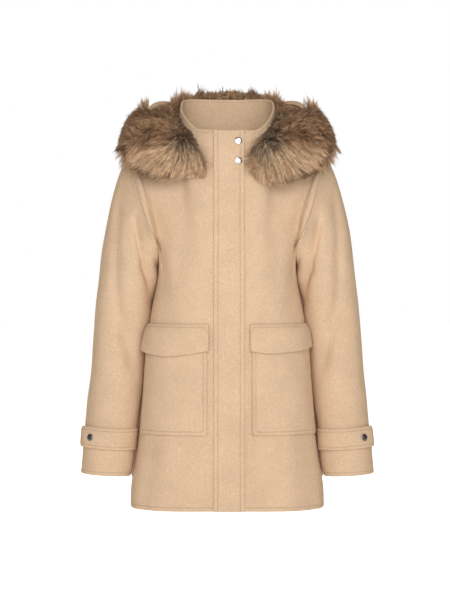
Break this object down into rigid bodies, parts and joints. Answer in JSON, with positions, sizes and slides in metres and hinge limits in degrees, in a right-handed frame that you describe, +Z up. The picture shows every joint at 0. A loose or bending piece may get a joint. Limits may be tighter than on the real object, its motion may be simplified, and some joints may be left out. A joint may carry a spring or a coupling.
{
  "type": "hooded parka",
  "caption": "Hip-length wool-look coat with a fur-edged hood laid back, stand collar, covered front, flap pockets and cuff straps, hollow and open at neck, hem and cuffs.",
  "frame": {"origin": "On the coat's middle plane at the height of the side neck points, where the wearer's shoulders carry it.", "axes": "+Z is up along the coat's length, the closed front faces -Y, and the wearer's left arm is on +X."},
  "size_m": [0.5548, 0.3416, 0.7967],
  "materials": {
    "wool_cloth": "soft brushed wool-look cloth",
    "fur_pile": "long soft pile, dark at the roots and tan at the tips",
    "polished_metal": "polished"
  },
  "bodies": {
    "root": {"back": "wool_cloth", "front_left": "wool_cloth", "front_right": "wool_cloth", "collar": "wool_cloth", "placket": "wool_cloth", "pocket_left": "wool_cloth", "pocket_right": "wool_cloth", "pocket_flap_left": "wool_cloth", "pocket_flap_right": "wool_cloth", "sleeve_top_left": "wool_cloth", "sleeve_top_right": "wool_cloth", "sleeve_under_left": "wool_cloth", "sleeve_under_right": "wool_cloth", "cuff_strap_left": "wool_cloth", "cuff_strap_right": "wool_cloth", "hood_left": "wool_cloth", "hood_right": "wool_cloth", "fur_trim": "fur_pile", "stud_upper": "polished_metal", "stud_lower": "polished_metal", "strap_stud_left": "polished_metal", "strap_stud_right": "polished_metal"}
  },
  "joints": []
}
